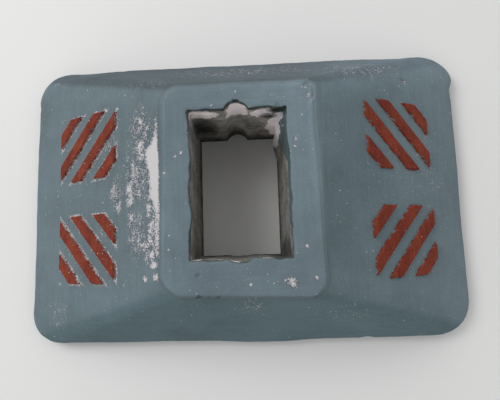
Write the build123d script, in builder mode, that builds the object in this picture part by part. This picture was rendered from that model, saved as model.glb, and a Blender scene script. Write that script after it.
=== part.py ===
import os

from build123d import *

os.makedirs("parts", exist_ok=True)

# A precast concrete barrier block, in millimetres. The origin is the middle of the underside.
# X runs along the block's length, Y across it, Z up.

# Base: the block's widest outline and the short upright band under the slopes
base_length = 1000
base_width = 652
base_corner = 82
plinth_height = 30
plinth_arris = 5

# Slopes: the four sides rise from the base to the foot of the collar
slope_rise = 176

# Collar: the raised flat rim around the socket
collar_length = 320
collar_width = 424
collar_corner = 40
collar_step = 15
collar_taper = 15
collar_arris = 3.5
collar_foot = 6

# Socket: the drafted opening that goes right through the block
socket_length = 196
socket_width = 293
socket_draft = 1.5
socket_arris = 2

# Half-round groove in the middle of each short socket wall
groove_radius = 27
groove_depth = 15

# Raised hazard stripes on the end slopes: two panels an end, mirrored across the block's middle
panel_width = 148
panel_length = 174
panel_offset = 113
panel_shift = -12
stripe_width = 24
stripe_count = 4
stripe_pitch = 52
stripe_angle = 45
stripe_corner = 4
stripe_relief = 6
stripe_seat = 5
stripe_edge = 2

# How far from its height a level edge may lie when edges are picked
level_slack = 0.01

foot_height = plinth_height + slope_rise
block_height = foot_height + collar_step

# The end slope's middle, and the way it faces, give the plane that the stripes stand on
end_run = (base_length - collar_length) / 2
end_middle = collar_length / 2 + end_run / 2


# One panel of slanting stripes, cut square at its sides
with BuildSketch() as hazard_panel:
    with Locations(Rotation(0, 0, stripe_angle)):
        with GridLocations(0, stripe_pitch, 1, stripe_count):
            Rectangle(panel_width + panel_length, stripe_width)
    Rectangle(panel_width, panel_length, mode=Mode.INTERSECT)
    fillet(hazard_panel.vertices(), radius=stripe_corner)


# The socket's outline at the collar's top: a rectangle with a half-round groove in each short side
with BuildSketch() as socket_outline:
    Rectangle(socket_length, socket_width)
    with GridLocations(0, socket_width + 2 * (groove_depth - groove_radius), 1, 2):
        Circle(groove_radius)


def edges_at(height):
    """The block's level edges at a height."""
    return barrier_block.edges().filter_by_position(Axis.Z, height - level_slack, height + level_slack)


with BuildPart() as barrier_block:
    # Upright band at the base
    with BuildSketch():
        RectangleRounded(base_length, base_width, base_corner)
    extrude(amount=plinth_height)

    # Sloping sides, whose corners tighten from the base to the collar
    with BuildSketch(Plane.XY.offset(plinth_height)):
        RectangleRounded(base_length, base_width, base_corner)
    with BuildSketch(Plane.XY.offset(foot_height)):
        RectangleRounded(collar_length, collar_width, collar_corner)
    loft(ruled=True)

    # Collar with drafted sides
    with BuildSketch(Plane.XY.offset(foot_height)):
        RectangleRounded(collar_length, collar_width, collar_corner)
    extrude(amount=collar_step, taper=collar_taper)

    # Softened edges: the collar's rim, the hollow at its foot and the shoulder of the base
    collar_rim = barrier_block.faces().sort_by(Axis.Z)[-1].edges()
    fillet(collar_rim, radius=collar_arris)
    fillet(edges_at(foot_height), radius=collar_foot)
    fillet(edges_at(plinth_height), radius=plinth_arris)

    # Socket through the whole block, narrowing downwards, and the bevel around its rim
    with BuildSketch(Plane.XY.offset(block_height)):
        add(socket_outline.sketch)
    extrude(amount=-block_height, taper=socket_draft, mode=Mode.SUBTRACT)
    with BuildSketch(Plane.XY.offset(block_height)):
        add(socket_outline.sketch)
        offset(amount=socket_arris)
    extrude(amount=-socket_arris, taper=45, mode=Mode.SUBTRACT)

    # Raised stripes on both end slopes
    for side in (-1, 1):
        end_slope = Plane(
            origin=(side * end_middle, 0, plinth_height + slope_rise / 2),
            x_dir=(0, side, 0),
            z_dir=(side * slope_rise, 0, end_run),
        )
        with BuildSketch(end_slope.offset(-stripe_seat)):
            with Locations((panel_offset, panel_shift)):
                add(hazard_panel.sketch)
            mirror(about=Plane.YZ)
        extrude(amount=stripe_seat + stripe_relief)
        stripe_tops = barrier_block.faces(Select.LAST).group_by(Axis(end_slope.origin, end_slope.z_dir))[-1]
        chamfer(stripe_tops.edges(), length=stripe_edge)

barrier_block.part.label = "barrier_block"
export_step(barrier_block.part, "parts/barrier_block.step")
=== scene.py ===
import math

import bpy
from mathutils import Matrix, Vector, noise


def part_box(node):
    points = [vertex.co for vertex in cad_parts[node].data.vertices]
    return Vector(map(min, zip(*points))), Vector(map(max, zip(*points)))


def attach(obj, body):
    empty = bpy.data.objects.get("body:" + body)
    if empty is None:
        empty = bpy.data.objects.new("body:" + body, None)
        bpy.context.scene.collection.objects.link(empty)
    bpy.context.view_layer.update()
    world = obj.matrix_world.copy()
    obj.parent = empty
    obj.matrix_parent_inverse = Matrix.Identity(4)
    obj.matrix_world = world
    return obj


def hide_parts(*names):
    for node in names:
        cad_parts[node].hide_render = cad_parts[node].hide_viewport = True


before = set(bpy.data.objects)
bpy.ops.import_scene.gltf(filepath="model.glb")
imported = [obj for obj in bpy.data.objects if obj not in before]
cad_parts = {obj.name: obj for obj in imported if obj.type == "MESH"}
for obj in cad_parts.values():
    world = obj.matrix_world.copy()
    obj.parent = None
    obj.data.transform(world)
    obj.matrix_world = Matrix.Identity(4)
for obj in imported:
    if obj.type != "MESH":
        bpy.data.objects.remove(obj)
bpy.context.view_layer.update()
blockLow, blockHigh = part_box("barrier_block")
print("frame loaded")

# all lengths in metres, heights measured up from the underside
block = {
    "length": blockHigh.x - blockLow.x,
    "width": blockHigh.y - blockLow.y,
    "height": blockHigh.z,
    "corner": 0.082,
    "plinth": 0.03,
    "rise": 0.176,
    "ground": 0.001,  # what lies lower is the underside
    "footEdge": 0.003,  # small break along the underside
    "shoulderLow": 0.0255,
    "shoulderIn": 0.0008,  # how far in and down its middle lies
    "shoulderDown": 0.0005,
    "shoulderShare": 0.016,  # how far up the slope the shoulder is soft
    "hip": 0.012,  # half the width of the turn from an end to a long side
    "cornerSegments": 14,
    "cutsLong": 80,  # cuts along each half of a ring's straight side
    "cutsShort": 56,
    "straightShare": 0.98,  # an edge this near a side's length is the side itself
    "sameSpot": 0.00001,
}
top = block["height"]
foot = block["plinth"] + block["rise"]  # height of the collar's foot

# rows of faces up each part of the section
rows = {"band": 5, "slope": 58, "hollow": 2, "side": 2, "top": 22, "upperWall": 16, "lowerWall": 30, "underside": 4}

collar = {
    "length": 0.32,
    "width": 0.424,
    "corner": 0.04,
    "draft": math.tan(math.radians(15)),
    "arris": 0.0035,
    "arrisIn": (0.0012, 0.0038),  # how far in the rounded rim's middle and top lie
    "arrisDown": 0.0009,
    "hollow": 0.005,  # concave sweep at the foot
    "hollowIn": 0.0006,  # how far in and up its middle lies
    "hollowUp": 0.0016,
    "brow": 0.0075,  # how far inside the foot the flat top begins
    "cornerBlend": 0.01,  # half the width of the turn from one side to the next
}

socket = {
    "length": 0.196,
    "width": 0.293,
    "draft": math.tan(math.radians(1.5)),
    "bevel": 0.002,
    "corner": 0.0015,
    "rimSlack": 0.0005,  # this little outside the rim still counts as in it
    "upperWall": 0.036,  # height of the walls' finer rows
    "wallCalm": (0.006, 0.004),  # how near the rim and the foot the walls are smooth
    "rightWall": 0.08,  # how far right the right wall begins
    "footFrom": (0.1, 0.15),  # where its lean begins to fade on the underside
    "footFade": 0.04,
    "grooveRadius": 0.027,
    "grooveDepth": 0.015,
    "grooveFrom": 0.12,  # how far across the grooves begin
    "grooveFade": (0.002, 0.03),  # how far out on the collar it dies away
    "grooveShift": (-0.0028, 0.0),  # the far and the near one's place along the block
    "packedDepth": 0.0056,  # what mortar leaves of the near groove at its top
    "packedFoot": 0.0004,  # and lower down
    "packedTurn": (0.09, 0.19),  # between these heights one turns into the other
    "packedLow": (0.008, 0.032),  # and here the mortar begins
}

lean = {  # how far the collar's foot and the socket were cast from square
    "farRight": (0.0015, 0.0),
    "nearRight": (0.0085, -0.0075),
    "farLeft": (0.0012, 0.0),
    "nearLeft": (0.0012, 0.0008),
    "socketTop": (0.0023, 0.0046),
    "socketFoot": (-0.01, 0.0046),
}

rimLean = {  # how much further in the collar's upper rim lies at its corners
    "farRight": (-0.0102, -0.014),
    "nearRight": (-0.003, -0.0012),
    "farLeft": (0.011, -0.0106),
    "nearLeft": (0.006, 0.0014),
}

rough = {
    # noises on the cast faces: waves a metre along each axis, shift, strength
    "cast": [
        ((6, 6, 6), (3.1, 0, 0), 0.0014), ((22, 22, 22), (0, 7.7, 0), 0.0006), ((75, 75, 75), (0, 0, 0), 0.0003),
    ],
    # on the socket's walls: level ridges from the mould, streaks that run down, coarse pits and fine ones
    "wall": [
        ((14, 14, 95), (0, 0, 0), 0.55), ((70, 70, 14), (0, 0, 0), 0.4),
        ((30, 30, 30), (5.5, 1.2, 0), 1.0), ((120, 120, 120), (0, 0, 0), 0.35),
    ],
    "wallDepth": 0.0019,
    # crumbled lengths of the socket's rim and small breaks along it: waves, shift, what stays whole, depth
    "rim": [((42, 42, 0), (0, 0, 3.7), 0.02, 0.005), ((150, 150, 90), (0, 0, 0), 0.0, 0.0016)],
    "rimReach": (0.001, 0.007),  # how far out on the collar's top it crumbles
    "rimDrop": (0.016, 0.001),  # and how far down the walls
    "rimWay": (0.8, -0.5),  # outwards, and down
    "knockWaves": 150,  # raggedness of a knock's edge, in waves a metre
    "knockShift": 40,
    "knockRagged": 0.006,  # how far that edge wanders
    "knockMost": 0.35,  # at most this share of its radius
    "knockSmall": 0.012,  # knocks smaller than this get finer faces
    "knockAround": 1.1,
    "knockCuts": 2,
}

# knocks and lumps, in millimetres: middle, radius, how far the surface is pushed, and which way
knocks = [
    # the base's outline: three squarer corners, and edges that aren't quite straight
    ((-476, -302, 20), 75, 7.8, (-1, -0.65, 0)),
    ((476, 302, 20), 75, 8, (1, 0.22, 0)),
    ((497, 266, 20), 45, 3.6, (1, 0, 0)),
    ((476, -302, 20), 70, 3.4, (1, -1, 0)),
    ((-380, 326, 10), 90, 3.4, (0, -1, 0)),
    ((-80, 326, 10), 60, 2.2, (0, 1, 0)),
    ((360, 326, 10), 70, 1.8, (0, -1, 0)),
    ((-500, 210, 10), 90, 2.6, (1, 0, 0)),
    # the socket and its rim
    ((-4, 149, 221), 9, 6.5, (0, 0.8, -1)),
    ((82, 148, 219), 10, 4, (0.3, 0.2, -1)),
    ((98, 135, 214), 16, 1, (1, 0, -0.3)),
    ((98, 115, 218), 80, 3.4, (-1, 0, 0)),
    ((94, 140, 120), 56, 17, (-1, -0.6, 0)),
    ((92, 118, 40), 46, 12, (-1, -0.2, 0)),
    ((-97, -7, 221), 24, 2.6, (-1, 0, -0.4)),
    ((-97, 28, 221), 14, 2.5, (-1, 0, -0.4)),
    ((-98, 42, 218), 85, 4, (1, 0, 0)),
    ((-98, -64, 218), 34, 5.2, (1, 0, 0)),
    ((28, -144, 221), 16, 4, (0, 1, -0.6)),
    ((-42, -145, 221), 12, 2.5, (0, -1, -0.6)),
    # the collar's corners
    ((145, 197, 214), 32, 7.8, (1, 0.85, 0)),
    ((-150, -203, 212), 36, 4.2, (1, 1, 0)),
    ((139, 199, 219), 9, 3.4, (-0.4, -0.6, -1)),
    ((153, 180, 218), 8, 3, (-1, 0, -0.8)),
    # chips, dents and trowel marks
    ((136.7, 186, 221), 20, 1.6, (0, 0, -1)),
    ((146, 178, 218), 12, 2, (-0.3, 0, -1)),
    ((-84.1, -172.9, 221), 6, 2.6, (0, 0, -1)),
    ((371, 240.1, 97), 9, 5, (-0.4, -0.1, -1)),
    ((499, 244, 26), 16, 4.2, (-1, -0.2, -0.3)),
    ((500, 223, 20), 12, 2.6, (-1, 0, -0.2)),
    ((-499, 237.7, 26), 12, 1.6, (1, 0, -0.3)),
    ((-468, -315.2, 24), 12, 1.6, (0.4, 1, -0.2)),
    ((270, -326, 27), 18, 2.8, (0, 1, -0.4)),
    ((-290, 326, 27), 14, 1.6, (0, -1, -0.4)),
    ((-139.5, -208, 211), 9, 2, (0, 1, -0.6)),
    ((-84.4, -209, 214), 9, 5, (0, 1, -0.6)),
    ((-49, -209, 214), 8, 3.8, (0, 1, -0.6)),
    ((-65, -209, 215), 6, 2.4, (0, 1, -0.6)),
    ((26.8, -215, 209), 12, 2.4, (0, 1, -0.6)),
    ((134.2, -212, 211), 9, 2, (0, 1, -0.6)),
]

# the near edge of the base swells outward along its length: where, and by how much
nearSwell = [
    (-280, 0.8), (-200, 1.2), (-120, 0.8), (-40, 2.8), (40, 6.2),
    (120, 2.9), (200, 1.3), (280, 2.3), (360, 2.6),
]
knocks += [((along, -326, 12), 110, swell, (0, -1, 0)) for along, swell in nearSwell]
knocks = [(Vector(middle) / 1000, radius / 1000, push / 1000, Vector(way).normalized())
          for middle, radius, push, way in knocks]


def deselectAll():
    bpy.ops.object.select_all(action="DESELECT")


def enter(mode):
    bpy.ops.object.mode_set(mode=mode)


def selectMesh(action):
    bpy.ops.mesh.select_all(action=action)


def useOnly(obj):
    deselectAll()
    obj.select_set(True)
    bpy.context.view_layer.objects.active = obj


def pickEdges(mesh, wanted):
    # enters edit mode with the wanted edges selected, told by the numbers of their two points
    enter("EDIT")
    bpy.ops.mesh.select_mode(type="EDGE")
    selectMesh("DESELECT")
    enter("OBJECT")
    for edge in mesh.edges:
        edge.select = wanted(*edge.vertices)
    enter("EDIT")


def clamp(value, low, high):
    return min(max(value, low), high)


def blend(first, second, share):
    return first + (second - first) * share


def soft(value, low, high):
    # eased step from 0 at low to 1 at high
    t = clamp((value - low) / (high - low), 0, 1)
    return t * t * (3 - 2 * t)


def waves(p, stretch, shift):
    return noise.noise(p * Vector(stretch) + Vector(shift))


def uneven(p, noises):
    return sum(waves(p, stretch, shift) * strength for stretch, shift, strength in noises)


def nearness(p, x, y, z, reachX, reachY, reachZ):
    # 1 in the middle of a patch, 0 at its edge and less beyond it
    p = p * 1000
    return 1 - Vector(((p.x - x) / reachX, (p.y - y) / reachY, (p.z - z) / reachZ)).length ** 2


def addRing(length, width, corner, height):
    # one closed loop of edges: a plane with rounded corners and evenly cut sides
    deselectAll()
    bpy.ops.mesh.primitive_plane_add(size=1, location=(0, 0, height))
    ring = bpy.context.object
    ring.scale = (length, width, 1)
    bpy.ops.object.transform_apply(location=True, rotation=False, scale=True)
    enter("EDIT")
    selectMesh("SELECT")
    bpy.ops.mesh.bevel(offset=corner, segments=block["cornerSegments"], affect="VERTICES")
    selectMesh("SELECT")
    bpy.ops.mesh.delete(type="ONLY_FACE")
    points = ring.data.vertices
    for axis, cuts in ((0, block["cutsLong"]), (1, block["cutsShort"])):
        least = ((length, width)[axis] - 2 * corner) * block["straightShare"]
        pickEdges(ring.data, lambda i, j: abs(points[i].co[axis] - points[j].co[axis]) > least)
        bpy.ops.mesh.subdivide(number_cuts=1)
        bpy.ops.mesh.subdivide(number_cuts=cuts)
    enter("OBJECT")
    return ring


def slopeRing(share):
    # outline of the sloping sides at a share of their rise
    spans = [blend(block[name], collar[name], share) for name in ("length", "width", "corner")]
    return (*spans, block["plinth"] + block["rise"] * share)


def collarRing(up):
    # outline of the collar's drafted side, up above its foot
    pull = 2 * up * collar["draft"]
    return (collar["length"] - pull, collar["width"] - pull, collar["corner"] - pull / 2, foot + up)


def socketRing(height):
    pull = 2 * (top - height) * socket["draft"]
    return (socket["length"] - pull, socket["width"] - pull, socket["corner"], height)


def inset(ring, amount, height):
    length, width, corner = ring[:3]
    return (length - 2 * amount, width - 2 * amount, max(corner - amount, 0.001), height)


def ringPlan():
    # each outline with the number of rows of faces up to the next one, round the whole section
    base = (block["length"], block["width"], block["corner"], 0)
    rim = socketRing(top)
    brow = collarRing(top - foot - collar["arris"])
    return [
        (inset(base, block["footEdge"], 0), 1),
        (inset(base, 0, block["footEdge"]), rows["band"]),
        (inset(base, 0, block["shoulderLow"]), 1),
        (inset(base, block["shoulderIn"], block["plinth"] - block["shoulderDown"]), 1),
        (slopeRing(block["shoulderShare"]), rows["slope"]),
        (slopeRing(1 - collar["hollow"] / block["rise"]), rows["hollow"]),
        (inset(slopeRing(1), collar["hollowIn"], foot + collar["hollowUp"]), 1),
        (collarRing(collar["hollow"]), rows["side"]),
        (brow, 1),
        (inset(brow, collar["arrisIn"][0], top - collar["arrisDown"]), 1),
        (inset(brow, collar["arrisIn"][1], top), rows["top"]),
        (inset(rim, -socket["bevel"], top), 1),
        (inset(rim, 0, top - socket["bevel"]), rows["upperWall"]),
        (socketRing(top - socket["upperWall"]), rows["lowerWall"]),
        (socketRing(0), rows["underside"]),
    ]


def placeRing(mesh, before, after):
    # moves the points just extruded from one outline onto the next, matched by where they were
    spots = {tuple(round(c, 6) for c in spot): k for k, spot in enumerate(before)}
    for point in mesh.vertices:
        if point.select:
            point.co = after[spots[tuple(round(c, 6) for c in point.co)]]


def makeShell():
    plan = ringPlan()
    guides = []
    for outline, count in plan:
        ring = addRing(*outline)
        guides.append([point.co.copy() for point in ring.data.vertices])
        if len(guides) == 1:
            cast = ring
        else:
            bpy.ops.object.delete()
    guides.append(guides[0])
    cast.name = "castBlock"
    useOnly(cast)
    mesh = cast.data
    ringOf = dict.fromkeys(range(len(mesh.vertices)), 0)  # which outline each point stands on
    enter("EDIT")
    selectMesh("SELECT")
    for i in range(len(plan)):
        enter("EDIT")
        bpy.ops.mesh.extrude_edges_indiv()
        enter("OBJECT")
        placeRing(mesh, guides[i], guides[i + 1])
        ringOf.update(dict.fromkeys(range(len(ringOf), len(mesh.vertices)), i + 1))
    for i, (outline, count) in enumerate(plan):
        if count > 1:
            pickEdges(mesh, lambda a, b: {ringOf.get(a), ringOf.get(b)} == {i, i + 1})
            bpy.ops.mesh.subdivide(number_cuts=count - 1)
            enter("OBJECT")
    enter("EDIT")
    selectMesh("SELECT")
    bpy.ops.mesh.remove_doubles(threshold=block["sameSpot"])
    bpy.ops.mesh.normals_make_consistent(inside=False)
    enter("OBJECT")
    bpy.ops.object.shade_smooth()
    print("block shell made,", len(mesh.vertices), "points")
    return cast


def refineKnocks(cast):
    # smaller faces where a knock is small beside the faces around it
    small = [(middle, radius * rough["knockAround"]) for middle, radius, push, way in knocks
             if radius < rough["knockSmall"]]
    enter("EDIT")
    bpy.ops.mesh.select_mode(type="FACE")
    selectMesh("DESELECT")
    enter("OBJECT")
    for face in cast.data.polygons:
        if any((face.center - middle).length < reach for middle, reach in small):
            face.select = True
    enter("EDIT")
    bpy.ops.mesh.subdivide(number_cuts=rough["knockCuts"])
    enter("OBJECT")


def outside(p, shape):
    # how far outside a rectangle round the middle a point is, along and across
    return abs(p.x) - shape["length"] / 2, abs(p.y) - shape["width"] / 2


def rimGap(p):
    # how far out from the socket's rim a point on the collar's top is, and its share of the way out
    outX, outY = outside(p, socket)
    browX = collar["length"] / 2 - collar["brow"]
    browY = collar["width"] / 2 - collar["brow"]
    share = max(outX / (browX - socket["length"] / 2), outY / (browY - socket["width"] / 2))
    return max(outX, outY), clamp(share, 0, 1)


def isInSocket(p):
    return rimGap(p)[0] < socket["rimSlack"]


def castAt(p):
    # share of the slopes' rise at a point's height, and half the block's length and width there
    up = clamp((p.z - block["plinth"]) / block["rise"], 0, 1)
    return up, blend(block["length"], collar["length"], up) / 2, blend(block["width"], collar["width"], up) / 2


def cornerShares(u, v):
    # how much each corner counts at a place given from -1 to 1 along and across
    u, v = clamp(u, -1, 1), clamp(v, -1, 1)
    return {
        "farRight": (1 + u) * (1 + v) / 4, "nearRight": (1 + u) * (1 - v) / 4,
        "farLeft": (1 - u) * (1 + v) / 4, "nearLeft": (1 - u) * (1 - v) / 4,
    }


def leanOf(p):
    # how far a point of the square casting is moved by its lean
    up, halfX, halfY = castAt(p)
    rise = clamp((p.z - foot) / (top - foot), 0, 1)
    outer = Vector((0, 0))
    for corner, share in cornerShares(p.x / halfX, p.y / halfY).items():
        outer += (Vector(lean[corner]) * up + Vector(rimLean[corner]) * rise) * share
    inner = Vector(lean["socketFoot"]).lerp(Vector(lean["socketTop"]), p.z / top)
    share = rimGap(p)[1]
    if p.z < block["ground"]:
        fromX, fromY = socket["footFrom"]
        share = max(share, soft(max(abs(p.x) - fromX, abs(p.y) - fromY), 0, socket["footFade"]))
    return (outer * share + inner * (1 - share)).to_3d()


def grooveOut(p):
    # outward pull of the half-round groove in each short wall, the near one packed at its top
    radius, depth = socket["grooveRadius"], socket["grooveDepth"]
    across = p.x - socket["grooveShift"][0 if p.y > 0 else 1]
    if abs(across) >= radius or abs(p.y) < socket["grooveFrom"]:
        return 0
    pull = max(math.sqrt(radius ** 2 - across ** 2) - (radius - depth), 0)
    if p.y < 0:
        left = blend(socket["packedFoot"], socket["packedDepth"], soft(p.z, *socket["packedTurn"]))
        packed = left * max(1 - (across / radius) ** 2, 0)
        pull += (min(packed, pull) - pull) * soft(p.z, *socket["packedLow"])
    wall = socket["width"] / 2 - (top - p.z) * socket["draft"]
    return pull * (1 - soft(abs(p.y) - wall, *socket["grooveFade"]))


def crumbleOf(p):
    # how far the socket's broken rim has moved at a point near it
    depth = sum(max(waves(p, stretch, shift) - whole, 0) * most for stretch, shift, whole, most in rough["rim"])
    place = Vector((p.x / socket["length"], p.y / socket["width"]))
    if abs(place.x) > abs(place.y):
        outward = Vector((math.copysign(1, p.x), 0, 0))
    else:
        outward = Vector((0, math.copysign(1, p.y), 0))
    out, down = rough["rimWay"]
    return (outward * out + Vector((0, 0, down))) * depth


def sculptPoint(p, n):
    # where a point of the plain casting goes on the worn one
    gap = rimGap(p)[0]
    q = p + leanOf(p)
    q.y += math.copysign(grooveOut(p), p.y)
    if isInSocket(p):
        calmTop, calmFoot = socket["wallCalm"]
        depth = uneven(p, rough["wall"]) * rough["wallDepth"]
        q += n * depth * soft(top - p.z, 0, calmTop) * soft(p.z, 0, calmFoot)
    elif p.z > block["ground"]:
        q += n * uneven(p, rough["cast"])
    dropLow, dropHigh = rough["rimDrop"]
    near = (1 - soft(gap, *rough["rimReach"])) * soft(p.z, top - dropLow, top - dropHigh)
    if near > 0:
        q += crumbleOf(p) * near
    for middle, radius, push, way in knocks:
        away = (p - middle).length / radius
        ragged = noise.noise(p * rough["knockWaves"] + middle * rough["knockShift"])
        away *= 1 + min(rough["knockMost"], rough["knockRagged"] / radius) * ragged
        if away < 1:
            q += way * push * (1 - away ** 2) ** 1.5
    return q


dusting = {
    # white strip at the foot of the collar: distance along, outer edge
    "strip": [
        (0.157, -0.1605), (0.146, -0.1625), (0.121, -0.169), (0.101, -0.174), (0.091, -0.18), (0.087, -0.186),
        (0.077, -0.1905), (0.056, -0.1905), (0.038, -0.185), (0.006, -0.183), (-0.012, -0.1825), (-0.02, -0.178),
        (-0.028, -0.1715), (-0.046, -0.17), (-0.06, -0.169), (-0.07, -0.17), (-0.09, -0.169),
        (-0.128, -0.167), (-0.136, -0.161),
    ],
    "inner": (-0.1591, -0.1632),  # inner edge at the near and at the far end
    "innerTurn": (-0.06, 0.16),  # between where one turns into the other
    "climb": 0.0009,  # how far up onto the collar's side it reaches
    "edge": 0.022,  # width over which the strip's outer edge breaks up
    "innerEdge": 0.004,
    "most": 1.3,
    "lowest": 0.03,  # none lies lower than this
    # loose grains, in millimetres: middle, reach along and across, strength
    "grains": [
        (-182.7, -36, 9.5, 12, 0.8), (-184.4, -50, 6, 15, 0.66), (-174, -67, 8, 9, 0.78),
        (-177.5, -77, 15, 20, 0.68), (-178, -102, 12, 24, 0.7), (-175.6, -130, 11, 20, 0.76),
        (-171, -149, 13, 11, 0.84), (-166.3, -173.5, 8, 13, 0.92), (-191.7, -176, 8, 10, 0.8),
        (-197.1, -110.5, 7, 7, 0.84), (-199, 145.4, 16, 14, 0.62), (-194, 159.6, 12, 12, 0.5),
        (-185.6, 128.1, 12, 14, 0.52), (-190.5, 109.2, 14, 18, 0.6), (-201.5, 91.3, 15, 24, 0.64),
        (-201.5, 71.4, 15, 20, 0.64), (-219.8, 51.5, 12, 24, 0.54), (-229.5, 9.7, 15, 26, 0.68),
        (-227.1, -18.2, 14, 24, 0.66), (-224.7, -54, 13, 28, 0.58), (-219.8, -97.8, 13, 33, 0.5),
        (-266.1, 1.8, 24, 35, 0.54), (-256.4, -28.1, 13, 32, 0.52), (-186, -118, 18, 50, 0.48),
        (-210, 50, 55, 135, 0.34), (-205, 135, 36, 60, 0.47), (-213, 30, 45, 90, 0.46),
        (-208, -85, 37, 85, 0.43), (-285, 115, 35, 50, 0.4), (-290, -75, 35, 50, 0.32),
        (-425, -255, 45, 50, 0.33), (10, 275, 260, 52, 0.3), (-180, 230, 70, 30, 0.26),
        (270, 265, 150, 55, 0.33), (13, -230, 40, 25, 0.34), (-90, -235, 30, 20, 0.26),
        (190, -250, 80, 40, 0.24), (390, 0, 110, 230, 0.22), (93, -186, 11, 14, 0.66),
        (84, -182, 18, 7, 0.56), (371, 240.1, 15, 10, 0.55), (138, 196, 15, 7, 0.5),
        (147, 180, 12, 6, 0.46), (113, 85, 8, 6, 0.62), (112, 71, 4.5, 4, 0.95),
        (137.5, -175.5, 4.5, 4, 1.05), (13.6, -188, 4.5, 4, 0.9), (-51.8, 158, 5, 4.5, 0.85),
        (-154, 33, 4.5, 4.5, 0.95), (-117.4, 67, 4.5, 4.5, 0.88), (-142.4, -119, 4.5, 4, 0.95),
        (-130.6, 62.3, 4.5, 4, 0.85), (124, -119, 4.5, 4.5, 0.9),
    ],
    "onStripes": 0.3,  # share of the cover that stays on the raised stripes
    "byStripes": (0.56, 0.2),  # cover caught beside them, on the left end and on the right
    "darkened": (0.74, 0.73, 0.8),  # how the paint darkens among the grains
}

pale = {
    # light mortar on the socket's walls, in millimetres: middle, reach each way, then strength, lightness; the
    # lightness is partly painted shade, lower on patches the lamp lights
    "patches": [
        (-70, 147, 195, 37, 30, 33, 1.1, 1.0),
        (50, 147, 190, 30, 30, 34, 1.1, 1.0),
        (-3, 147, 180, 27, 30, 49, 1.25, 1.0),
        (85, 146.5, 142, 19, 10, 62, 1.25, 1.0),
        (90, 129, 95, 33, 30, 80, 1.42, 0.9),
        (-12, -150, 212, 13, 20, 15, 1.6, 1.0),
        (42, -146, 209, 28, 20, 11, 1.3, 0.7),
        (-86, -146.5, 195, 13, 20, 30, 1.5, 0.9),
    ],
    "below": (0.003, 0.008),  # how far under the rim it begins
    "bareRun": 0.016,  # height of the unpainted foot, and how far paint runs into the socket
    # paint that ran further: middle along the wall, its side, reach, how far down it runs
    "laps": [(0.11, 1, 0.068, 0.24), (0.01, 1, 0.145, 0.055), (-0.11, -1, 0.03, 0.016)],
}

sideShade = {  # painted light and shade: how much darker or lighter each side's paint, and the paint in the socket, is than the collar's, as the light falls on it, in red, green and blue
    "near": (0.72, 0.83, 0.82),
    "far": (0.575, 0.575, 0.575),
    "farRight": (0.93, 0.93, 0.96),
    "left": (0.88, 0.9, 0.88),
    "leftNear": (0.94, 0.98, 0.96),
    "right": (0.94, 0.985, 0.965),
    "rightOut": (1.06, 1.07, 1.05),
    "socket": (0.57, 0.64, 0.6),
    # from where to where one turns into the other
    "farTurn": (0.05, 0.35), "leftTurn": (0.12, 0.28), "rightTurn": (0.36, 0.48), "footTurn": (-0.001, 0.003),
    "rightDip": 0.14,  # painted shade: how much darker the right end is beside the collar
    "dipOut": (0.195, 0.24), "dipNear": (-0.18, -0.09), "dipFar": (0.0, 0.07),
    "rightFar": 0.11,  # painted light: how much lighter towards the far side
    "rightFarTurn": (0.04, 0.13),
}

collarLight = {  # painted light and shade: the paint's brightness at the collar's corners and on its four steep sides
    "farRight": 1.2, "nearRight": 0.92, "farLeft": 1.09, "nearLeft": 1.08,
    "sides": (0.76, 1.16, 0.8, 0.85),  # left, right, near, far: painted shade, with a painted highlight on the right side; the left side's darkening is partly dirt, partly painted shade
    "sideTurn": (0.004, 0.0004),  # how far under the top the sides end
    "rightRim": 0.2,  # painted highlight: how much lighter the paint is along the right rim
    "rightRimIn": (0.022, 0.004), "rightRimTurn": (-0.12, 0.02),
    "rightMid": 0.1,  # painted light over the right part of the top, away from the near corner
    "midOut": (0.09, 0.12), "midTurn": (-0.04, 0.05),
}

shadeAndGrime = {  # painted shade and dirt in the crease round the collar, painted light and shade on the socket's walls
    "loss": (0.3, 0.32, 0.37),
    "socketLoss": (0.35, 0.34, 0.34),
    "crease": (0.4, 0.7, 0.3, 1.0),  # left, right, near, far
    "reach": 0.0048,
    "creaseTop": (0.003, 0.01),  # how far above the collar's foot it ends
    "underRim": 0.6,  # painted shade just below the collar's right rim
    "underRimFrom": 0.008, "underRimDown": 0.003, "underRimReach": 0.0028,
    "farWall": (0.1, 0.14),  # how far across the socket's far wall begins
    "farWallLight": 1.5,  # painted light: the far wall is lit this much more than the others
    # painted shade on the right wall
    "rightWall": 0.45,
    "rim": 1.6,  # in the shade under the socket's rim
    "rimOthers": 0.5,  # share of that on the other walls
    "rimDown": (0.015, 0.009),
    "darkened": 2.4,  # painted shade along the foot of the walls
    "footShadeHeight": 0.06,
    # darker patches on the socket's walls, the one low on the far wall's left a painted shadow, in millimetres:
    # middle, reach each way, then strength
    "darkPatches": [
        (-78, 146.5, 100, 40, 30, 80, 2.4),
        (79, 146.5, 204, 23, 20, 16, 2.5),
        (64, 146.5, 174, 23, 20, 18, 2.4),
        (85, -146.5, 140, 32, 60, 150, 2.6),
    ],
}


def stripCover(p):
    # half on the white strip's edge, more within it
    for (y0, outer0), (y1, outer1) in zip(dusting["strip"], dusting["strip"][1:]):
        if y1 <= p.y <= y0 and p.x < dusting["climb"] - collar["length"] / 2:
            outer = blend(outer0, outer1, (y0 - p.y) / (y0 - y1))
            inner = blend(*dusting["inner"], soft(p.y, *dusting["innerTurn"]))
            within = min((p.x - outer) / dusting["edge"], (inner - p.x) / dusting["innerEdge"])
            return clamp(0.5 + within, 0, dusting["most"])
    return 0


def dustCover(p):
    amount = stripCover(p)
    for x, y, reachX, reachY, strength in dusting["grains"]:
        away = math.hypot((p.x * 1000 - x) / reachX, (p.y * 1000 - y) / reachY)
        amount = max(amount, strength * (1 - away ** 2))
    return clamp(amount, 0, dusting["most"])


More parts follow.
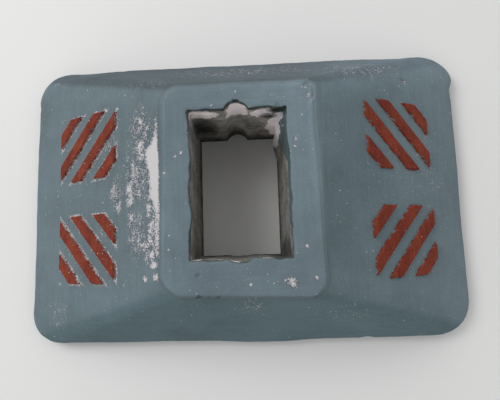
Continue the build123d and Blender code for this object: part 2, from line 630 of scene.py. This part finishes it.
def sideShare(p):
    # 0 on the block's two ends, 1 on its two long sides
    up, halfX, halfY = castAt(p)
    return soft((abs(p.y) - halfY) - (abs(p.x) - halfX), -block["hip"], block["hip"])


def bySide(p, left, right, near, far):
    # a value for each side of the collar, blended round its corners
    along = right if p.x > 0 else left
    across = far if p.y > 0 else near
    outX, outY = outside(p, collar)
    return blend(along, across, soft(outY - outX, -collar["cornerBlend"], collar["cornerBlend"]))


def collarLightOf(p):
    # painted light and shade over the collar's top and steep sides
    halfX, halfY = collar["length"] / 2, collar["width"] / 2
    onTop = sum(collarLight[corner] * share for corner, share in cornerShares(p.x / halfX, p.y / halfY).items())
    rimFrom, rimTo = collarLight["rightRimIn"]
    alongRim = soft(p.x, halfX - rimFrom, halfX - rimTo)
    onTop += collarLight["rightRim"] * alongRim * soft(p.y, *collarLight["rightRimTurn"])
    onTop += collarLight["rightMid"] * soft(p.x, *collarLight["midOut"]) * soft(p.y, *collarLight["midTurn"])
    low, high = collarLight["sideTurn"]
    steep = blend(bySide(p, *collarLight["sides"]), 1, soft(p.z, top - low, top - high))
    return Vector((1, 1, 1)) * onTop * steep


def shadeTurning(first, second, value, turn):
    # one side's painted light and shade turning into another's
    return Vector(sideShade[first]).lerp(Vector(sideShade[second]), soft(value, *sideShade[turn]))


def sideShadeOf(p):
    # painted light and shade of each side, of the collar and of the socket
    if isInSocket(p):
        return Vector(sideShade["socket"])
    if p.x > 0:
        along = shadeTurning("right", "rightOut", p.x, "rightTurn")
        dip = (1 - soft(p.x, *sideShade["dipOut"])) * soft(p.y, *sideShade["dipNear"]) * (1 - soft(p.y, *sideShade["dipFar"]))
        along *= 1 - sideShade["rightDip"] * dip + sideShade["rightFar"] * soft(p.y, *sideShade["rightFarTurn"])
    else:
        along = shadeTurning("left", "leftNear", -p.y, "leftTurn")
    across = shadeTurning("far", "farRight", p.x, "farTurn") if p.y > 0 else Vector(sideShade["near"])
    low, high = sideShade["footTurn"]
    onCollar = soft(p.z, foot + low, foot + high)
    return along.lerp(across, sideShare(p)).lerp(collarLightOf(p), onCollar)


def bareOf(p, inSocket):
    # rises past a half where the paint ends
    run = pale["bareRun"]
    if not inSocket:
        return clamp(1 - p.z / run, 0, 1)
    for along, side, reach, down in pale["laps"]:
        if p.x * side > socket["rightWall"]:
            run += down * max(1 - ((p.y - along) / reach) ** 2, 0)
    return clamp((top - p.z) / run, 0, 1)


def paleOf(p, inSocket):
    # how much mortar there is, and how light it is
    light, lightTone = 0, 0
    for *patch, strength, lightness in pale["patches"] if inSocket else []:
        cover = strength * nearness(p, *patch)
        if cover > light:
            light, lightTone = cover, lightness
    return light * soft(top - p.z, *pale["below"]), lightTone


def collarOut(p):
    # how far outside the collar's rounded foot a point is, less than zero within it
    outX, outY = (out + collar["corner"] for out in outside(p, collar))
    return math.hypot(max(outX, 0), max(outY, 0)) + min(max(outX, outY), 0) - collar["corner"]


def wallLightAndShade(p):
    # painted shade under the rim, along the foot and on the right wall, painted light on the far wall, and darker
    # patches
    farWall = soft(p.y, *shadeAndGrime["farWall"])
    low, high = shadeAndGrime["rimDown"]
    rim = shadeAndGrime["rim"] * blend(shadeAndGrime["rimOthers"], 1, farWall) * soft(p.z, top - low, top - high)
    darkened = shadeAndGrime["darkened"] * (1 - soft(p.z, 0, shadeAndGrime["footShadeHeight"]))
    right = shadeAndGrime["rightWall"] * (p.x > socket["rightWall"]) * (1 - farWall)
    darkening = max(rim, darkened, right, *(strength * nearness(p, *patch) for *patch, strength in shadeAndGrime["darkPatches"]))
    return darkening - shadeAndGrime["farWallLight"] * farWall * (1 - clamp(darkening, 0, 1))


def creaseShadeAndDirt(p):
    # painted shade just below the collar's right rim, painted shade and dirt in the crease round its foot
    if p.x > 0 and p.z > foot + shadeAndGrime["underRimFrom"]:
        away = (p.z - top + shadeAndGrime["underRimDown"]) / shadeAndGrime["underRimReach"]
        return bySide(p, 0, shadeAndGrime["underRim"], 0, 0) * (1 - abs(clamp(away, -1, 1)))
    low, high = shadeAndGrime["creaseTop"]
    near = clamp(1 - abs(collarOut(p)) / shadeAndGrime["reach"], 0, 1)
    return bySide(p, *shadeAndGrime["crease"]) * near * (1 - soft(p.z, foot + low, foot + high))


def keepMarks(mesh, marks, rest):
    # the marks, the plain casting's place of each point, which the painted stripes follow, and its side's painted
    # light and shade
    for name, values in marks.items():
        mesh.attributes.new(name, "FLOAT", "POINT").data.foreach_set("value", values)
    for name, places in (("restSpot", rest), ("paintedShade", [sideShadeOf(p) for p in rest])):
        flat = [c for place in places for c in place]
        mesh.attributes.new(name, "FLOAT_VECTOR", "POINT").data.foreach_set("vector", flat)


def markShell(cast, rest):
    # what the finishes need to know at each point: bare, dusted, mortared, painted shade and dirt, and the brush's
    # direction
    names = ("bare", "dusted", "acrossWise", "crease", "paleSpot", "paleTone")
    table = []
    for p in rest:
        inSocket = isInSocket(p)
        dusted = 0 if inSocket or p.z < dusting["lowest"] else dustCover(p)
        darkening = wallLightAndShade(p) if inSocket else creaseShadeAndDirt(p)
        table.append((bareOf(p, inSocket), dusted, sideShare(p), darkening, *paleOf(p, inSocket)))
    keepMarks(cast.data, dict(zip(names, zip(*table))), rest)


def makeBlock():
    cast = makeShell()
    refineKnocks(cast)
    mesh = cast.data
    rest = [point.co.copy() for point in mesh.vertices]
    normals = [point.normal.copy() for point in mesh.vertices]
    for point, p, n in zip(mesh.vertices, rest, normals):
        point.co = sculptPoint(p, n)
    markShell(cast, rest)
    mesh.update()
    print("block shaped and marked,", len(mesh.vertices), "points")
    return cast


castBlock = makeBlock()

stripes = {
    "panelWidth": 0.148,
    "panelLength": 0.174,
    "offset": 0.113,  # panel's middle from the block's long axis
    "shift": -0.012,  # and down the slope from its middle
    "barWidth": 0.024,
    "barLength": 0.3,  # before it is cut at the panel's sides
    "pitch": 0.052,
    "count": 4,
    "relief": 0.006,
    "sunk": 0.004,
    "corner": 0.004,
    "cornerSegments": 4,
    "edge": 0.0022,
    "edgeSegments": 3,
    "uprightShare": 0.9,  # an edge of this share of a bar's height stands upright
    "levelSlack": 0.0001,
    "voxel": 0.0017,
    "flare": 0.0016,  # how far the foot of a bar spreads onto the slope
    "flareSpread": (0.6, 0.8),  # its least share, and how much more it varies
    "flareWaves": 120,
    "flareHeight": (-0.001, 0.0025),
    "lumps": 0.0007,  # unevenness of a bar's top
    "lumpWaves": 45,
    "grit": 0.0005,  # and all over it
    "gritWaves": 130,
    "shifts": (9, 5, 7),  # these set the noises of the four panels apart
}
diagonal = 0.5 ** 0.5  # the bars slant by half a right angle


def slopePlane(side):
    # an end slope's own frame: across, up the slope, outward
    tilt = Vector((side * block["rise"], 0, (block["length"] - collar["length"]) / 2)).normalized()
    across = Vector((0, side, 0))
    plane = Matrix((across, tilt.cross(across), tilt)).transposed().to_4x4()
    plane.translation = (side * (block["length"] + collar["length"]) / 4, 0, block["plinth"] + block["rise"] / 2)
    return plane


def makeBars(hand):
    # one panel's slanting bars, made flat round the origin; hand 1 or -1 is the way they slant
    deselectAll()
    height = stripes["relief"] + stripes["sunk"]
    bars = []
    for k in range(stripes["count"]):
        along = (k - (stripes["count"] - 1) / 2) * stripes["pitch"] * diagonal
        place = (-hand * along, along, stripes["relief"] - height / 2)
        bpy.ops.mesh.primitive_cube_add(size=1, location=place, rotation=(0, 0, hand * math.radians(45)))
        bar = bpy.context.object
        bar.scale = (stripes["barLength"], stripes["barWidth"], height)
        bars.append(bar)
    for bar in bars:
        bar.select_set(True)
    bpy.ops.object.join()
    panel = bpy.context.object
    bpy.ops.object.transform_apply(location=True, rotation=True, scale=True)
    enter("EDIT")
    for normal, reach in (((1, 0, 0), stripes["panelWidth"] / 2), ((0, 1, 0), stripes["panelLength"] / 2)):
        for way in (1, -1):
            outward = Vector(normal) * way
            selectMesh("SELECT")
            bpy.ops.mesh.bisect(plane_co=outward * reach, plane_no=outward, use_fill=True, clear_outer=True)
    mesh = panel.data
    points = mesh.vertices
    upright = height * stripes["uprightShare"]
    pickEdges(mesh, lambda i, j: abs(points[i].co.z - points[j].co.z) > upright)
    bpy.ops.mesh.bevel(offset=stripes["corner"], segments=stripes["cornerSegments"], affect="EDGES")
    level = stripes["relief"] - stripes["levelSlack"]
    pickEdges(mesh, lambda i, j: min(points[i].co.z, points[j].co.z) > level)
    bpy.ops.mesh.bevel(offset=stripes["edge"], segments=stripes["edgeSegments"], affect="EDGES")
    enter("OBJECT")
    remesh = panel.modifiers.new("evenFaces", "REMESH")
    remesh.mode = "VOXEL"
    remesh.voxel_size = stripes["voxel"]
    bpy.ops.object.modifier_apply(modifier="evenFaces")
    return panel


def wearBar(p, normal, side, end):
    # a point of a bar with its spread foot, lumpy top and grit
    low = 1 - soft(p.z, *stripes["flareHeight"])
    least, more = stripes["flareSpread"]
    flareShift, lumpShift, gritShift = stripes["shifts"]
    spread = least + more * noise.noise(p * stripes["flareWaves"] + Vector((side, end, 0)) * flareShift)
    p += Vector((normal.x, normal.y, 0)) * low * stripes["flare"] * spread
    lump = noise.noise(p * stripes["lumpWaves"] + Vector((side, end, 0)) * lumpShift)
    p.z += lump * stripes["lumps"] * (1 - low)
    return p + normal * noise.noise(p * stripes["gritWaves"] + Vector((end, side, 0)) * gritShift) * stripes["grit"]


def layPanel(name, side, end):
    # lays a panel on an end slope: side 1 or -1 along the block, end 1 or -1 across it
    hand = end * side
    panel = makeBars(hand)
    panel.name = name
    useOnly(panel)
    mesh = panel.data
    plane = slopePlane(side)
    shift = Vector((hand * stripes["offset"], stripes["shift"], 0))
    bent = [wearBar(point.co.copy(), point.normal.copy(), side, end) for point in mesh.vertices]
    rest = [plane @ (p + shift) for p in bent]
    tilt = plane.to_3x3() @ Vector((0, 0, 1))
    for point, p in zip(mesh.vertices, rest):
        under = p - tilt * (tilt.dot(p - plane.translation))
        point.co = p + leanOf(under) + tilt * uneven(under, rough["cast"])
    keepMarks(mesh, {"dusted": [dustCover(p) * dusting["onStripes"] for p in rest]}, rest)
    mesh.update()
    bpy.ops.object.shade_smooth()
    return panel


panels = [
    layPanel("stripesLeftNear", -1, -1),
    layPanel("stripesLeftFar", -1, 1),
    layPanel("stripesRightNear", 1, -1),
    layPanel("stripesRightFar", 1, 1),
]
print("stripes laid,", sum(len(panel.data.vertices) for panel in panels), "points")

paint = {
    "blueDeep": (0.114, 0.152, 0.174, 1),
    "bluePale": (0.16, 0.211, 0.24, 1),
    "redDeep": (0.13, 0.018, 0.0095, 1),
    "redBright": (0.226, 0.041, 0.018, 1),
    "bareDark": (0.098, 0.097, 0.09, 1),
    "barePale": (0.37, 0.355, 0.325, 1),
    "mortar": (0.33, 0.3, 0.3, 1),
    # pale mortar, partly painted light: lighter than its own colour where the walls lie in shade
    "mortarPale": (0.84, 0.76, 0.775, 1),
    "dust": (0.54, 0.524, 0.535, 1),
    # how much each noise counts in a colour, and from where to where that goes from deep to pale
    "blueMix": (0.9, 0.5, 0.4), "blueRange": (0.57, 1.23),
    "bareMix": (0.5, 0.25, 0.5), "bareRange": (0.42, 0.84),
    "redMix": (0.6, 0.5), "redRange": (0.35, 0.75),
    # ragged lines: how much the mark and its noise count, and where the line falls
    "bareLine": (1, 0.6), "bareFrom": (0.62, 0.7),
    "mortarLine": (1, 2.2), "mortarFrom": (1.46, 1.68),
    "mortarPits": (0.3, 0.7, (0.25, 0.0)),  # where concrete shows through
    "redSpill": 0.012,  # how far the red wanders from a stripe's edge
    "redMiddle": 0.42,
    "redFrom": (-0.0006, 0.0006),
    "caughtOut": (0.011, 0.0), "caughtIn": (-0.002, 0.001),  # white beside a stripe's edge
    "caughtSides": (-0.1, 0.1),
    "darkenedFrom": (0.25, 0.5),
    "clumpRange": (0.32, 0.68),
    "grainRange": (0.3, 0.7),
    "grainMix": (0.34, 0.42, 0.24),  # large grains, small ones and clumps
    "dustFrom": (0.9, 1.12),
    "saltFrom": (0.58, 0.74),
    "salt": 0.2,
    "flecks": [(75, 0.6, 0.12), (157.5, 0.84, 0.16)],  # cells a metre, share left out, size
    "fleckCover": 0.85,
    "darkeningRange": (0.35, 0.65, (0.65, 1.15)),  # how uneven the painted shade and dirt is
    "shine": 0.15,
    "matt": (0.68, 0.88), "mattBare": 0.93, "mattDust": 0.88,
    "heights": (0.00035, 0.00032, 0.0016, 0.0006, 0.00025),  # fine grain, strokes, bare places, dust, red
}

# the finish's noises: scale, detail, roughness, and how they are stretched along the axes
textures = {
    "broad": (5, 3, 0.55),
    "patchy": (26, 5, 0.6),
    "strokesAlong": (1, 4, 0.6, (150, 9, 60)),
    "strokesAcross": (1, 4, 0.6, (9, 150, 60)),
    "coarse": (90, 6, 0.65),
    "streaky": (1, 5, 0.6, (14, 14, 110)),
    "blotchy": (20, 4, 0.6),
    "bareLine": (85, 5, 0.7),
    "mortarLine": (48, 7, 0.7),
    "redLine": (110, 5, 0.7),
    "clumps": (1, 4, 0.6, (95, 48, 70)),
    "largeGrains": (250, 3, 0.6),
    "smallGrains": (520, 2, 0.6),
    "salt": (390, 2, 0.6),
    "fine": (420, 4, 0.6),
}


def plug(tree, value, spot):
    # links another node's socket to an input, or sets a plain value
    if isinstance(value, bpy.types.NodeSocket):
        tree.links.new(value, spot)
    else:
        spot.default_value = value


def addNode(tree, kind, inputs=None, **settings):
    made = tree.nodes.new(kind)
    for name, value in settings.items():
        setattr(made, name, value)
    for name, value in (inputs or {}).items():
        plug(tree, value, made.inputs[name])
    return made


def reckon(tree, operation, first, second=0.0):
    return addNode(tree, "ShaderNodeMath", {0: first, 1: second}, operation=operation).outputs[0]


def times(tree, first, second):
    return reckon(tree, "MULTIPLY", first, second)


def reckonVector(tree, operation, first, second):
    made = addNode(tree, "ShaderNodeVectorMath", {0: first, 1: second}, operation=operation)
    return made.outputs["Value" if operation == "DOT_PRODUCT" else "Vector"]


def weigh(tree, weights, *values):
    # sum of the values, each times its weight
    total = None
    for weight, value in zip(weights, values):
        part = times(tree, value, weight)
        total = part if total is None else reckon(tree, "ADD", total, part)
    return total


def grain(tree, where, scale, detail, roughness, stretch=None):
    if stretch:
        where = addNode(tree, "ShaderNodeMapping", {"Vector": where, "Scale": stretch}).outputs[0]
    settings = {"Vector": where, "Scale": scale, "Detail": detail, "Roughness": roughness}
    return addNode(tree, "ShaderNodeTexNoise", settings).outputs["Fac"]


def between(tree, value, low, high, out=(0.0, 1.0)):
    settings = {"Value": value, "From Min": low, "From Max": high, "To Min": out[0], "To Max": out[1]}
    return addNode(tree, "ShaderNodeMapRange", settings, interpolation_type="SMOOTHSTEP").outputs[0]


def mix(tree, kind, share, first, second):
    # a blend of two colours or two values; only their identifiers tell a mix node's sockets apart
    made = addNode(tree, "ShaderNodeMix", data_type={"Color": "RGBA", "Float": "FLOAT"}[kind])
    spots = {spot.identifier: spot for spot in (*made.inputs, *made.outputs)}
    for name, value in (("Factor_Float", share), ("A_" + kind, first), ("B_" + kind, second)):
        plug(tree, value, spots[name])
    return spots["Result_" + kind]


def attribute(tree, name, output="Fac"):
    return addNode(tree, "ShaderNodeAttribute", attribute_name=name).outputs[output]


def apartOf(tree, vector):
    return addNode(tree, "ShaderNodeSeparateXYZ", {"Vector": vector}).outputs


def stripeEdge(tree, spot):
    # signed distance from the painted stripes' outline in metres, less than zero on them, in both ends' slopes
    def less(first, second):
        return reckon(tree, "SUBTRACT", first, second)

    def size(value):
        return reckon(tree, "ABSOLUTE", value)

    apart = apartOf(tree, spot)
    plane = slopePlane(1)
    uphill, middle = plane.col[1], plane.col[3]
    across = less(size(apart["Y"]), stripes["offset"])
    climbed = weigh(tree, (uphill.x, uphill.z), less(size(apart["X"]), middle.x), less(apart["Z"], middle.z))
    up = less(climbed, stripes["shift"])
    slant = times(tree, less(up, across), diagonal / stripes["pitch"])
    fromBar = size(less(reckon(tree, "FRACT", slant), 0.5))
    fromBar = less(times(tree, fromBar, stripes["pitch"]), stripes["barWidth"] / 2)
    sideways = less(size(across), stripes["panelWidth"] / 2)
    lengthways = less(size(up), stripes["panelLength"] / 2)
    return reckon(tree, "MAXIMUM", fromBar, reckon(tree, "MAXIMUM", sideways, lengthways))


def addFlecks(tree, where):
    # 1 on the small white flecks, 0 elsewhere
    flecks = 0.0
    for scale, leftOut, size in paint["flecks"]:
        cells = addNode(tree, "ShaderNodeTexVoronoi", {"Vector": where, "Scale": scale})
        chance = addNode(tree, "ShaderNodeSeparateColor", {"Color": cells.outputs["Color"]}).outputs
        there = reckon(tree, "GREATER_THAN", chance[0], leftOut)
        reach = times(tree, chance[1], size)
        spot = times(tree, there, reckon(tree, "LESS_THAN", cells.outputs["Distance"], reach))
        flecks = reckon(tree, "MAXIMUM", flecks, spot)
    return flecks


def makePaint():
    # brushed paint over cast concrete, with red stripes, dusting, flecks and bare places
    material = bpy.data.materials.new("brushedPaint")
    material.use_nodes = True
    tree = material.node_tree
    shader = tree.nodes["Principled BSDF"]
    where = addNode(tree, "ShaderNodeTexCoord").outputs["Object"]
    noises = {name: grain(tree, where, *settings) for name, settings in textures.items()}
    patchy, coarse = noises["patchy"], noises["coarse"]
    restSpot = attribute(tree, "restSpot", "Vector")

    def eased(value, name):
        return between(tree, value, *paint[name])

    def colored(share, first, second):
        return mix(tree, "Color", share, first, second)

    strokes = mix(tree, "Float", attribute(tree, "acrossWise"), noises["strokesAlong"], noises["strokesAcross"])
    blueTone = weigh(tree, paint["blueMix"], noises["broad"], patchy, strokes)
    blue = colored(eased(blueTone, "blueRange"), paint["blueDeep"], paint["bluePale"])
    # each side's painted light and shade
    blue = reckonVector(tree, "MULTIPLY", blue, attribute(tree, "paintedShade", "Vector"))

    # bare concrete in the socket, under the block and in a ragged line along its foot
    bareTone = weigh(tree, paint["bareMix"], coarse, noises["streaky"], noises["blotchy"])
    concrete = colored(eased(bareTone, "bareRange"), paint["bareDark"], paint["barePale"])
    bareShare = eased(weigh(tree, paint["bareLine"], attribute(tree, "bare"), noises["bareLine"]), "bareFrom")
    color = colored(bareShare, blue, concrete)
    paleShare = weigh(tree, paint["mortarLine"], attribute(tree, "paleSpot"), noises["mortarLine"])
    mortar = colored(attribute(tree, "paleTone"), paint["mortar"], paint["mortarPale"])
    mortar = colored(eased(coarse, "mortarPits"), mortar, concrete)
    color = colored(eased(paleShare, "mortarFrom"), color, mortar)

    # red on the stripes, brushed by hand
    edge = stripeEdge(tree, restSpot)
    spill = reckon(tree, "SUBTRACT", noises["redLine"], paint["redMiddle"])
    spill = times(tree, spill, paint["redSpill"])
    redShare = eased(reckon(tree, "SUBTRACT", spill, edge), "redFrom")
    redTone = weigh(tree, paint["redMix"], patchy, strokes)
    color = colored(redShare, color, colored(eased(redTone, "redRange"), paint["redDeep"], paint["redBright"]))

    # white dusting: grains on paint that is darker among them, thicker where the raised stripes caught it
    caught = times(tree, eased(edge, "caughtOut"), eased(edge, "caughtIn"))
    bySides = between(tree, apartOf(tree, restSpot)["X"], *paint["caughtSides"], dusting["byStripes"])
    caught = times(tree, caught, bySides)
    dusted = attribute(tree, "dusted")
    color = colored(eased(dusted, "darkenedFrom"), color, reckonVector(tree, "MULTIPLY", color, dusting["darkened"]))
    grains = weigh(tree, paint["grainMix"], eased(noises["largeGrains"], "grainRange"),
                   eased(noises["smallGrains"], "grainRange"), eased(noises["clumps"], "clumpRange"))
    dusted = reckon(tree, "MAXIMUM", dusted, caught)
    dustShare = eased(reckon(tree, "ADD", dusted, grains), "dustFrom")
    color = colored(dustShare, color, paint["dust"])
    salt = times(tree, eased(noises["salt"], "saltFrom"), paint["salt"])
    color = colored(salt, color, paint["dust"])

    # small white flecks all over the paint, then the painted shade and dirt
    flecks = times(tree, addFlecks(tree, where), reckon(tree, "SUBTRACT", 1.0, bareShare))
    color = colored(times(tree, flecks, paint["fleckCover"]), color, paint["dust"])
    # painted shade and dirt darken the colour
    loss = colored(bareShare, (*shadeAndGrime["loss"], 1), (*shadeAndGrime["socketLoss"], 1))
    amount = times(tree, attribute(tree, "crease"), eased(patchy, "darkeningRange"))
    darkening = addNode(tree, "ShaderNodeVectorMath", {0: loss, "Scale": amount}, operation="SCALE").outputs[0]
    color = reckonVector(tree, "MULTIPLY", color, reckonVector(tree, "SUBTRACT", (1, 1, 1), darkening))
    plug(tree, color, shader.inputs["Base Color"])
    plug(tree, paint["shine"], shader.inputs["Specular IOR Level"])

    matt = mix(tree, "Float", patchy, *paint["matt"])
    matt = mix(tree, "Float", bareShare, matt, paint["mattBare"])
    plug(tree, mix(tree, "Float", dustShare, matt, paint["mattDust"]), shader.inputs["Roughness"])

    bareGrain = times(tree, coarse, bareShare)
    height = weigh(tree, paint["heights"], noises["fine"], strokes, bareGrain, dustShare, redShare)
    relief = addNode(tree, "ShaderNodeBump", {"Height": height, "Distance": 1.0, "Strength": 1.0})
    plug(tree, relief.outputs[0], shader.inputs["Normal"])
    print("paint mixed")
    return material


brushedPaint = makePaint()
for piece in [castBlock] + panels:
    piece.data.materials.clear()
    piece.data.materials.append(brushedPaint)
    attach(piece, "root")
    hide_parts("barrier_block")

# camera at the photograph's viewpoint
view = {
    "lens": 30.6,
    "sensor": 36,
    "nearest": 0.01,
    "place": (0.054, -0.1278, 1.0256),
    "turn": (6.789, 2.496, -1.8),
}


def hang(name, data, place, turn):
    made = bpy.data.objects.new(name, data)
    bpy.context.scene.collection.objects.link(made)
    made.location = place
    made.rotation_euler = turn
    return made


def makeCamera():
    data = bpy.data.cameras.new("viewCamera")
    data.lens = view["lens"]
    data.sensor_width = view["sensor"]
    data.clip_start = view["nearest"]
    turn = [math.radians(a) for a in view["turn"]]
    bpy.context.scene.camera = hang("viewCamera", data, view["place"], turn)
    print("camera placed")


makeCamera()

studio = {
    "floorSize": 30,
    "floorColor": (0.78, 0.78, 0.772, 1),
    "floorMatt": 0.9,
    "sky": (1.0, 1.0, 1.0, 1),
    "skyStrength": 0.86,
    "skyLean": (-0.2, 0.12, 0.0),  # the side on which the sky is brighter
    "overhead": (0.048, -0.242, 0.969),  # where it is dimmer, as under a hood
    "overheadLoss": 0.86,
    "overheadReach": (0.76, 0.98),
    "lampPower": 55,
    "lampSize": 1.8,
    "lampPlace": (-2.35, 1.62, 2.8),
}


def layFloor():
    deselectAll()
    bpy.ops.mesh.primitive_plane_add(size=studio["floorSize"], location=(0, 0, 0))
    floor = bpy.context.object
    floor.name = "studioFloor"
    cover = bpy.data.materials.new("studioFloor")
    cover.use_nodes = True
    shader = cover.node_tree.nodes["Principled BSDF"]
    shader.inputs["Base Color"].default_value = studio["floorColor"]
    shader.inputs["Roughness"].default_value = studio["floorMatt"]
    floor.data.materials.append(cover)


def makeSky():
    # even and white to the camera, leaning and hooded where it lights the block
    world = bpy.data.worlds.new("softSky")
    world.use_nodes = True
    tree = world.node_tree
    background = tree.nodes["Background"]
    background.inputs["Color"].default_value = studio["sky"]
    seen = addNode(tree, "ShaderNodeLightPath").outputs
    straight = reckon(tree, "MAXIMUM", seen["Is Glossy Ray"], seen["Is Transmission Ray"])
    straight = reckon(tree, "MAXIMUM", seen["Is Camera Ray"], straight)
    way = addNode(tree, "ShaderNodeTexCoord").outputs["Generated"]
    sideways = reckonVector(tree, "DOT_PRODUCT", way, studio["skyLean"])
    upward = reckonVector(tree, "DOT_PRODUCT", way, studio["overhead"])
    hood = between(tree, upward, *studio["overheadReach"], (1.0, 1.0 - studio["overheadLoss"]))
    sky = times(tree, reckon(tree, "ADD", sideways, 1.0), studio["skyStrength"])
    sky = times(tree, sky, hood)
    plug(tree, mix(tree, "Float", straight, sky, 1.0), background.inputs["Strength"])
    bpy.context.scene.world = world


def hangLamp():
    data = bpy.data.lights.new("softLamp", "AREA")
    data.energy = studio["lampPower"]
    data.size = studio["lampSize"]
    place = Vector(studio["lampPlace"])
    hang("softLamp", data, place, (-place).to_track_quat("-Z", "Y").to_euler())


layFloor()
makeSky()
hangLamp()
bpy.context.scene.view_settings.view_transform = "Standard"
print("studio lit")
